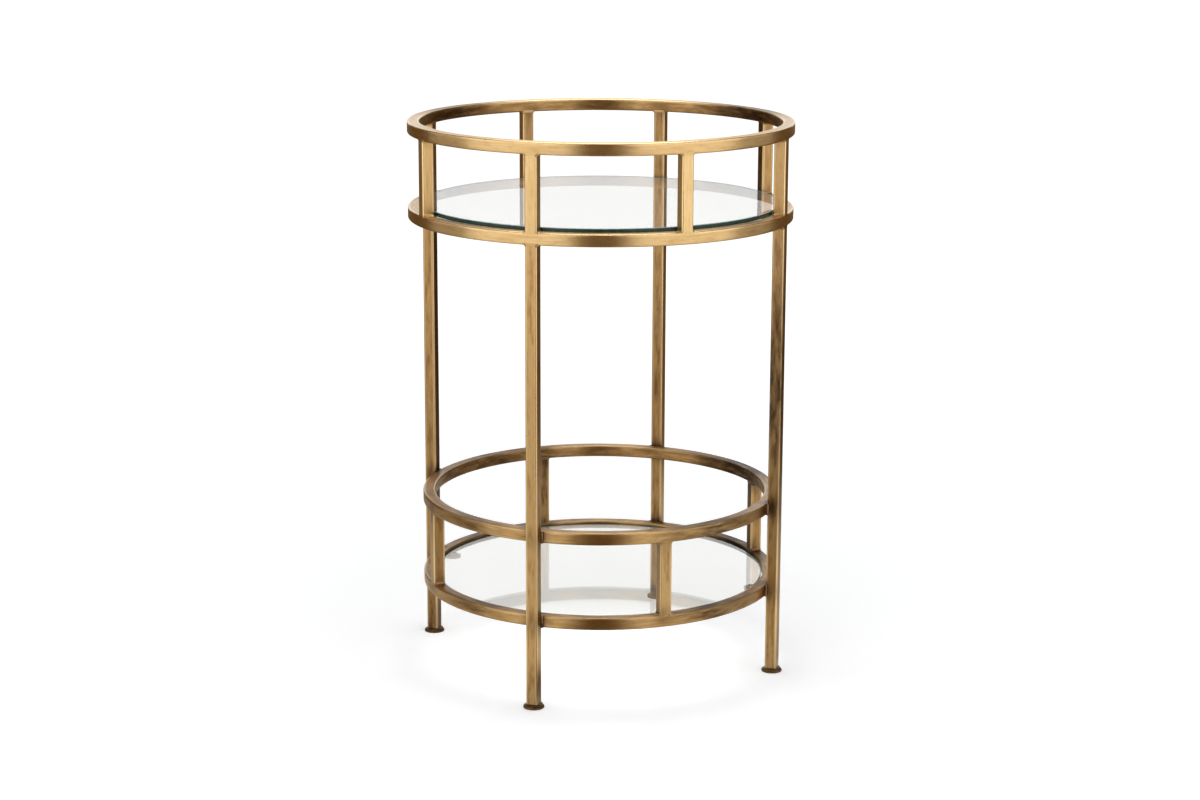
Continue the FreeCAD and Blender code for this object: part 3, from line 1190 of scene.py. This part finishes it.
@dataclass
class Foot:
    """A small disc welded under a leg, with the weld's lumpy collar running up the tube.

    Attributes:
        node: the node's name.
        leg: the leg over it.
        collar: how high the weld climbs the leg above the disc.
        climb: mean share of that height, and how far lumps change it.
        toe: how far the weld spreads on the disc.
        lump: how far its surface swells and sinks.
        edge: width of the disc's rounded edge.
        rim_wander: how far the disc's rim is out of round.
        rim: section of the rim from the floor up, as shares of the edge inwards and of the thickness.
        weld: section of the weld from the disc up, as shares of its toe and of its height.
        corner_share: how far the weld cuts the leg's corners, as a share of their radius.
        rim_noise: in the noise, radius of the rim, distance for each radian between legs and each metre up.
        weld_noise: in the noise, radius of the weld and distance for each radian between legs.
        rubbed: how far the foot is rubbed bright.
        steps: how many steps the mesh has round the foot.
    """

    node: str
    leg: Upright
    collar: float = 0.9 * MM
    climb: tuple[float, float] = (0.75, 0.45)
    toe: float = 1.9 * MM
    lump: float = 0.9 * MM
    edge: float = 1.3 * MM
    rim_wander: float = 0.5 * MM
    rim: tuple[tuple[float, float], ...] = ((0.5, 0.0), (0.1, 0.065), (0.0, 0.35), (0.25, 0.6), (1.0, 0.75))
    weld: tuple[tuple[float, float], ...] = (
        (1.0, 0.05), (0.72, 0.2), (0.4, 0.5), (0.16, 0.8), (0.02, 1.0), (-0.5, 1.0))
    corner_share: float = 0.6
    rim_noise: tuple[float, float, float] = (2.2, 5.0, 90.0)
    weld_noise: tuple[float, float] = (3.0, 9.0)
    rubbed: float = 0.4
    steps: int = 64

    def build(self, section: TubeSection) -> None:
        """Makes and dresses the foot.

        Args:
            section: the leg's outline.
        """
        low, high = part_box(self.node)
        middle = Vector(((low.x + high.x) / 2, (low.y + high.y) / 2, 0.0))
        radius, thick = (high.x - low.x) / 2, high.z - low.z
        turns = [2 * math.pi * step / self.steps for step in range(self.steps)]
        loops = [[middle + self.rim_point(radius / 2, 0.0, turn) for turn in turns]]
        for inset, rise in self.rim:
            reach, height = radius - inset * self.edge, rise * thick
            loops.append([middle + self.rim_point(reach, height, turn) for turn in turns])
        middle.z = thick
        for spread, rise in self.weld:
            loops.append([middle + self.weld_point(section, spread, rise, turn) for turn in turns])
        skin = Skin()
        skin.sweep(loops, wear=[self.rubbed] * self.steps)
        seat(skin.shape(self.node + "_disc", [Finish.BURNT]), "frame", [self.node])

    def rim_point(self, radius: float, height: float, turn: float) -> Vector:
        """Gives a point of the disc, slightly out of round.

        Args:
            radius: the disc's radius there.
            height: height over the floor.
            turn: angle round the foot.

        Returns:
            The point, from the foot's middle on the floor.
        """
        around, leg_gap, up = self.rim_noise
        wander = noise.noise(polar(around, turn, self.leg.angle * leg_gap + up * height))
        return polar(radius - self.rim_wander * (1.0 - wander) / 2, turn, height)

    def weld_point(self, section: TubeSection, spread: float, rise: float, turn: float) -> Vector:
        """Gives a point of the weld round the leg.

        Args:
            section: the leg's outline.
            spread: share of the weld's toe.
            rise: share of the weld's height.
            turn: angle round the foot.

        Returns:
            The point, from the foot's middle on top of the disc.
        """
        around, leg_gap = self.weld_noise
        square = turn - self.leg.angle
        half = section.side / 2
        reach = min(half / max(abs(math.cos(square)), abs(math.sin(square))),
                    half * math.sqrt(2.0) - self.corner_share * section.corner)
        lump = noise.noise(polar(around, turn, self.leg.angle * leg_gap))
        mean, change = self.climb
        height = rise * self.collar * (mean + change * lump)
        return polar(reach + spread * (self.toe + self.lump * lump), turn, height)


@dataclass
class Legs:
    """The four legs with their feet, and the welds that tie the lower tier between them.

    Attributes:
        tarnish: how brown the patina left each leg.
        painted_shade_legs: the legs with shade painted on a stretch part of the way up, standing in for a
            dark reflection.
        middle_share: where the middle of that is, as a share of the leg.
        painted_shade_strength: how dark that painted shade is there.
        painted_shade_reach: how far that painted shade goes.
        foot_heat: how dark a leg is at its foot.
        foot_reach: how far up that dark goes.
        ring_heat: how dark the metal is where a lower ring meets a leg.
        ring_reach: how far that dark goes.
        uprights: the legs.
    """

    tarnish: dict[str, float] = field(default_factory=lambda: {
        "leg_front": 0.45, "leg_left": 0.70, "leg_back": 0.20, "leg_right": 0.50})
    painted_shade_legs: tuple[str, ...] = ("leg_right",)
    middle_share: float = 0.66
    painted_shade_strength: float = 0.85
    painted_shade_reach: float = 130.0 * MM
    foot_heat: float = 0.5
    foot_reach: float = 42.0 * MM
    ring_heat: float = 1.0
    ring_reach: float = 13.0 * MM
    uprights: list[Upright] = field(init=False)

    def __post_init__(self) -> None:
        """Reads the legs from their nodes."""
        self.uprights = [Upright(node, number, self.tarnish[node])
                         for number, node in enumerate(nodes_named("leg_"))]

    def darken(self, rings: Sequence[Ring]) -> None:
        """Marks where welding darkened the legs and the lower rings, and where shade is painted on a leg.

        Args:
            rings: the rings that are welded between the legs.
        """
        for leg in self.uprights:
            foot = polar(leg.radius, leg.angle, 0.0)
            leg.heat_and_shade.append(HeatAndShadeSpot(foot, self.foot_reach, self.foot_heat))
            # Painted shade: a darker stretch of the leg stands in for a dark reflection.
            if leg.node in self.painted_shade_legs:
                middle = polar(leg.radius, leg.angle, leg.low + (leg.high - leg.low) * self.middle_share)
                leg.heat_and_shade.append(HeatAndShadeSpot(middle, self.painted_shade_reach, self.painted_shade_strength))
            for ring in rings:
                spot = HeatAndShadeSpot(ring.outer_point(leg.angle), self.ring_reach, self.ring_heat)
                leg.heat_and_shade.append(spot)
                ring.heat_and_shade.append(spot)

    def build(self, rings: Sequence[Ring]) -> None:
        """Makes and dresses the legs, the feet and the beads.

        Args:
            rings: the rings that are welded between the legs.
        """
        section = rings[0].section
        for leg in self.uprights:
            leg.build(section)
            Foot(leg.node.replace("leg_", "foot_"), leg).build(section)
        for ring in rings:
            LegWelds(ring, ring.node + "_welds").build(self.uprights)


@dataclass
class GlassShelf:
    """A loose glass disc with a worked rim, and the tabs and bumpers that it lies on.

    Attributes:
        tier: "upper" or "lower".
        arris: width of the small bevels along the rim.
        steps: how many steps the disc has round it.
    """

    tier: str
    arris: float = 0.6 * MM
    steps: int = 256

    def build(self) -> None:
        """Makes and dresses the disc, and dresses what it lies on."""
        low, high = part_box(self.tier + "_glass")
        radius = (high.x - low.x) / 2
        profile = [(radius / 2, low.z), (radius - self.arris, low.z), (radius, low.z + self.arris),
                   (radius, high.z - self.arris), (radius - self.arris, high.z), (radius / 2, high.z)]
        turns = [2 * math.pi * step / self.steps for step in range(self.steps)]
        face, rim, bevel = range(3)
        skin = Skin()
        skin.sweep([[polar(reach, turn, level) for turn in turns] for reach, level in profile],
                   finishes=(face, bevel, rim, bevel, face))
        disc = skin.shape(self.tier + "_glass_disc", [Finish.GLASS, Finish.RIM, Finish.ARRIS])
        # Clear glass barely dims the light that passes, so the disc casts no shadow.
        disc.visible_shadow = False
        seat(disc, self.tier + "_shelf", [self.tier + "_glass"])
        dressings = {node: Finish.STRIP for node in nodes_named(self.tier + "_tab_")}
        dressings[self.tier + "_bumpers"] = Finish.VINYL
        for node, finish in dressings.items():
            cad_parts[node].data.materials.clear()
            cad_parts[node].data.materials.append(finish.material())
            log.info("%s: dressed with %s", node, finish.value.name)


@dataclass(frozen=True)
class SoftBox:
    """A large soft lamp.

    Attributes:
        name: its name.
        bearing: degrees to the right of the camera, seen from the table.
        distance: how far it stands from the table's axis.
        wide: its width.
        power: in watts.
        height: height of its middle over the floor.
        tall: its own height.
    """

    name: str
    bearing: float
    distance: float
    wide: float
    power: float
    height: float = 0.72
    tall: float = 1.4

    def place(self, camera_azimuth: float, target: Vector) -> None:
        """Hangs the lamp.

        Args:
            camera_azimuth: where the camera stands, in degrees.
            target: the point that it faces.
        """
        data = bpy.data.lights.new(self.name, "AREA")
        data.shape = "RECTANGLE"
        data.size, data.size_y = self.wide, self.tall
        data.energy = self.power
        lamp = bpy.data.objects.new(self.name, data)
        lamp.location = polar(self.distance, from_front(camera_azimuth + self.bearing), self.height)
        lamp.rotation_euler = (target - lamp.location).to_track_quat("-Z", "Y").to_euler()
        lamp.visible_camera = False
        bpy.context.scene.collection.objects.link(lamp)


def seen_level(tree: Tree, path: bpy.types.NodeOutputs) -> Socket:
    """Adds a level that is 1 for what the camera sees, straight or through glass, and otherwise 0.

    Args:
        tree: the node tree of the floor or the world.
        path: the outputs of its light path.

    Returns:
        The output that holds it.
    """
    # The depth counts whole bounces, so less than a half is none.
    unmirrored = work_out(tree, "LESS_THAN", path["Glossy Depth"], 0.5)
    through = work_out(tree, "MULTIPLY", path["Is Transmission Ray"], unmirrored)
    return work_out(tree, "MAXIMUM", path["Is Camera Ray"], through)


def mirrored_level(tree: Tree, path: bpy.types.NodeOutputs) -> Socket:
    """Adds a level that is 1 for what shows in metal and on glass, and otherwise 0.

    Args:
        tree: the node tree of the floor or the world.
        path: the outputs of its light path.

    Returns:
        The output that holds it.
    """
    return work_out(tree, "SUBTRACT", path["Is Glossy Ray"], seen_level(tree, path), clamp=True)


@dataclass(frozen=True)
class Studio:
    """The pale floor, the soft lamps, the surroundings and the camera.

    Attributes:
        azimuth: where the camera stands, in degrees to the right of the front.
        distance: from the table's axis, along the floor.
        height: of the lens over the floor.
        pitch: how far the camera looks down, in degrees.
        roll: how far it leans, in degrees.
        lens: focal length in millimetres.
        sensor: width of the picture behind the lens, in millimetres.
        floor_radius: how far the floor runs.
        floor_steps: how many straight steps its edge has.
        floor_colour: its own colour.
        tooth: how far the paper's tooth lightens and darkens that colour.
        tooth_size: how wide the marks of the tooth are, in millimetres.
        floor_near: glow that takes the lit floor to white round the table.
        floor_far: glow that takes it to white where no lamp reaches.
        fade: from where to where the one glow passes into the other.
        room: colour in metal of the dim, warm room round the studio.
        fill: colour of the light that the room scatters on everything.
        painted_pool_colour: colour of the pool of light painted on the floor before a lamp, which only metal
            shows.
        pool_half: half the width of such a pool of light, in degrees.
        pool_fade: from where to where a pool fades towards its lamp.
        near_level: brightness of the light painted on the floor close round the table beside a pool's, but
            for the camera's side.
        near_fade: from where to where that brightness fades.
        dark_half: half the width of the camera's dark side, in degrees.
        backdrop_half: half the width of the white backdrop behind the table, in degrees.
        soft_edge: how wide the edges of the pools and the backdrop are, in degrees.
        key_lamps: the lamps to the left and right of the camera.
        wing_lamps: the dimmer lamps at the table's sides.
        top_lamp: the lamp over the table.
    """

    azimuth: float = 19.9
    distance: float = 2.688
    height: float = 0.901
    pitch: float = 12.97
    roll: float = 0.21
    lens: float = 77.0
    sensor: float = 36.0
    floor_radius: float = 20.0
    floor_steps: int = 96
    floor_colour: str = "#E2E3E5"
    tooth: float = 0.03
    tooth_size: float = 25.0
    floor_near: float = 0.40
    floor_far: float = 1.0
    fade: tuple[float, float] = (0.22, 2.0)
    room: str = "#604A2A"
    fill: str = "#606060"
    painted_pool_colour: str = "#EEEAE2"
    pool_half: float = 32.0
    pool_fade: tuple[float, float] = (1.4, 1.8)
    near_level: float = 0.65
    near_fade: tuple[float, float] = (0.55, 0.95)
    dark_half: float = 10.0
    backdrop_half: float = 24.0
    soft_edge: float = 10.0
    key_lamps: tuple[SoftBox, ...] = (
        SoftBox("left_softbox", bearing=-48.0, distance=1.25, wide=1.75, power=8.7),
        SoftBox("right_softbox", bearing=49.0, distance=1.25, wide=1.75, power=8.7),
    )
    wing_lamps: tuple[SoftBox, ...] = (
        SoftBox("left_wing", bearing=-98.0, distance=1.3, wide=0.7, power=1.2),
        SoftBox("right_wing", bearing=99.0, distance=1.3, wide=0.7, power=1.1),
    )
    top_lamp: SoftBox = SoftBox(
        "overhead_softbox", bearing=BEHIND, distance=0.35, wide=1.6, power=16.0, height=2.1, tall=1.2)

    def build(self) -> None:
        """Sets up everything round the table."""
        self.lay_floor()
        self.surround()
        target = Vector((0.0, 0.0, (CAD_BOX[0].z + CAD_BOX[1].z) / 2))
        for lamp in (*self.key_lamps, *self.wing_lamps, self.top_lamp):
            lamp.place(self.azimuth, target)
        self.set_camera()
        bpy.context.scene.view_settings.view_transform = "Standard"

    def lay_floor(self) -> None:
        """Lays a white-looking floor that keeps the table's shadow and shows metal a painted pool before each
        lamp.
        """
        mesh = bpy.data.meshes.new("floor")
        turns = [2 * math.pi * step / self.floor_steps for step in range(self.floor_steps)]
        edge = [polar(self.floor_radius, turn, 0.0) for turn in turns]
        mesh.from_pydata(edge, [], [range(self.floor_steps)])
        material, tree = blank_material("pale_paper_floor")
        place = add_node(tree, "TexCoord").outputs["Object"]
        tooth = ramp(tree, cloud(tree, place, self.tooth_size), 0.0, 1.0, 1.0 - self.tooth, 1.0 + self.tooth)
        colour = blend(tree, 1.0, linear(self.floor_colour), tooth, "MULTIPLY")
        paper = add_node(tree, "BsdfDiffuse", {}, {"Color": colour})
        reach = add_node(tree, "VectorMath", {"operation": "LENGTH"}, {0: place}).outputs["Value"]
        white = ramp(tree, reach, *self.fade, self.floor_near, self.floor_far)
        path = add_node(tree, "LightPath").outputs
        glow = add_node(tree, "Emission", {}, {
            "Strength": work_out(tree, "MULTIPLY", seen_level(tree, path), white)})
        lit = add_node(tree, "AddShader", {}, {0: paper.outputs[0], 1: glow.outputs[0]})
        # Painted light: for metal, the floor glows with a pool before each lamp and a dimmer glow round the
        # table.
        shown = blend(tree, self.painted_pools(tree, place, reach), linear(self.room), linear(self.painted_pool_colour))
        mirrored = add_node(tree, "Emission", {}, {"Color": shown})
        both = add_node(tree, "MixShader", {}, {
            0: mirrored_level(tree, path), 1: lit.outputs[0], 2: mirrored.outputs[0]})
        add_node(tree, "OutputMaterial", {}, {"Surface": both.outputs[0]})
        mesh.materials.append(material)
        floor = bpy.data.objects.new("floor", mesh)
        bpy.context.scene.collection.objects.link(floor)

    def painted_pools(self, tree: Tree, place: Socket, reach: Socket) -> Socket:
        """Adds the light painted on the floor for metal to show: full before the lamps, none before the
        camera.

        Args:
            tree: the floor's node tree.
            place: a place on the floor.
            reach: its distance from the table's axis.

        Returns:
            The output that holds the level.
        """
        around = self.sector(tree, place, BEHIND, BEHIND - self.dark_half)
        highest = work_out(tree, "MULTIPLY", around, ramp(tree, reach, *self.near_fade, self.near_level, 0.0))
        for lamp in self.key_lamps:
            sector = self.sector(tree, place, lamp.bearing, self.pool_half)
            pool = work_out(tree, "MULTIPLY", sector, ramp(tree, reach, *self.pool_fade, 1.0, 0.0))
            highest = work_out(tree, "MAXIMUM", pool, highest)
        return highest

    def sector(self, tree: Tree, way: Socket, bearing: float, half: float) -> Socket:
        """Adds a level that is 1 in a sector round the table, with soft edges, and 0 outside it.

        Args:
            tree: the node tree of the floor or the world.
            way: a place or a direction.
            bearing: the sector's middle, in degrees to the right of the camera.
            half: half its width, in degrees.

        Returns:
            The output that holds it.
        """
        middle = polar(1.0, from_front(self.azimuth + bearing), 0.0)
        flat = add_node(tree, "VectorMath", {"operation": "MULTIPLY"}, {0: way, 1: (1.0, 1.0, 0.0)})
        level = add_node(tree, "VectorMath", {"operation": "NORMALIZE"}, {0: flat.outputs[0]})
        close = add_node(tree, "VectorMath", {"operation": "DOT_PRODUCT"}, {0: level.outputs[0], 1: middle})
        outer, inner = (math.cos(math.radians(half + side * self.soft_edge / 2)) for side in (1, -1))
        return add_node(tree, "MapRange", {"interpolation_type": "SMOOTHSTEP"}, {
            "Value": close.outputs["Value"], "From Min": outer, "From Max": inner}).outputs[0]

    def surround(self) -> None:
        """Makes the surroundings: white to the eye, and in metal a white backdrop in a dim room."""
        world = bpy.data.worlds.new("studio")
        bpy.context.scene.world = world
        world.use_nodes = True
        tree = world.node_tree
        tree.nodes.clear()
        way = add_node(tree, "TexCoord").outputs["Generated"]
        path = add_node(tree, "LightPath").outputs
        backdrop = self.sector(tree, way, BEHIND, self.backdrop_half)
        in_metal = blend(tree, backdrop, linear(self.room), linear(WHITE))
        unseen = blend(tree, mirrored_level(tree, path), linear(self.fill), in_metal)
        colour = blend(tree, seen_level(tree, path), unseen, linear(WHITE))
        sky = add_node(tree, "Background", {}, {"Color": colour})
        add_node(tree, "OutputWorld", {}, {"Surface": sky.outputs[0]})

    def set_camera(self) -> None:
        """Puts the camera where the photograph was taken from."""
        data = bpy.data.cameras.new("camera")
        data.lens = self.lens
        data.sensor_width = self.sensor
        camera = bpy.data.objects.new("camera", data)
        camera.location = polar(self.distance, from_front(self.azimuth), self.height)
        turns = (Matrix.Rotation(math.radians(self.azimuth), 3, "Z")
                 @ Matrix.Rotation(math.radians(90.0 - self.pitch), 3, "X")
                 @ Matrix.Rotation(math.radians(self.roll), 3, "Z"))
        camera.rotation_euler = turns.to_euler()
        bpy.context.scene.collection.objects.link(camera)
        bpy.context.scene.camera = camera


def main() -> None:
    """Builds the table and its studio."""
    logging.basicConfig(level=logging.INFO, format="%(message)s")
    legs = Legs()
    upper = Tier(
        ring_nodes=("top_ring", "upper_shelf_ring"), seams=(230.0, 15.0), post_start="upper_post_",
        first_number=len(legs.uprights), tarnish=0.10, inner_shade=0.50, top_tarnish=(0.05, 0.30),
        darker_places=(DarkerPlace(52.0, 75.0 * MM, 0.80), DarkerPlace(168.0, 70.0 * MM, 0.70)),
        browned={"upper_post_back_right": 0.60, "upper_post_right": 0.18, "upper_post_left": 0.14,
                 "upper_post_back": 0.08})
    lower = Tier(
        ring_nodes=("gallery_ring", "lower_shelf_ring"), seams=(160.0, 120.0), post_start="lower_post_",
        first_number=len(legs.uprights) + len(upper.posts),
        tarnish=0.40, inner_shade=0.20, top_tarnish=(0.32, 0.40),
        darker_places=(DarkerPlace(-32.0, 50.0 * MM, 0.75), DarkerPlace(-113.0, 40.0 * MM, 0.55),
                DarkerPlace(50.0, 75.0 * MM, 1.00), DarkerPlace(150.0, 80.0 * MM, 0.70)),
        browned={"lower_post_back_right": 0.15, "lower_post_front_left": 0.08},
        rubbed=0.45, tee_heat=0.65, tee_reach=12.0 * MM)
    legs.darken(lower.rings)
    upper.build(legs.uprights)
    lower.build([])
    legs.build(lower.rings)
    for tier in ("upper", "lower"):
        GlassShelf(tier).build()
    Studio().build()


if __name__ == "__main__":
    main()
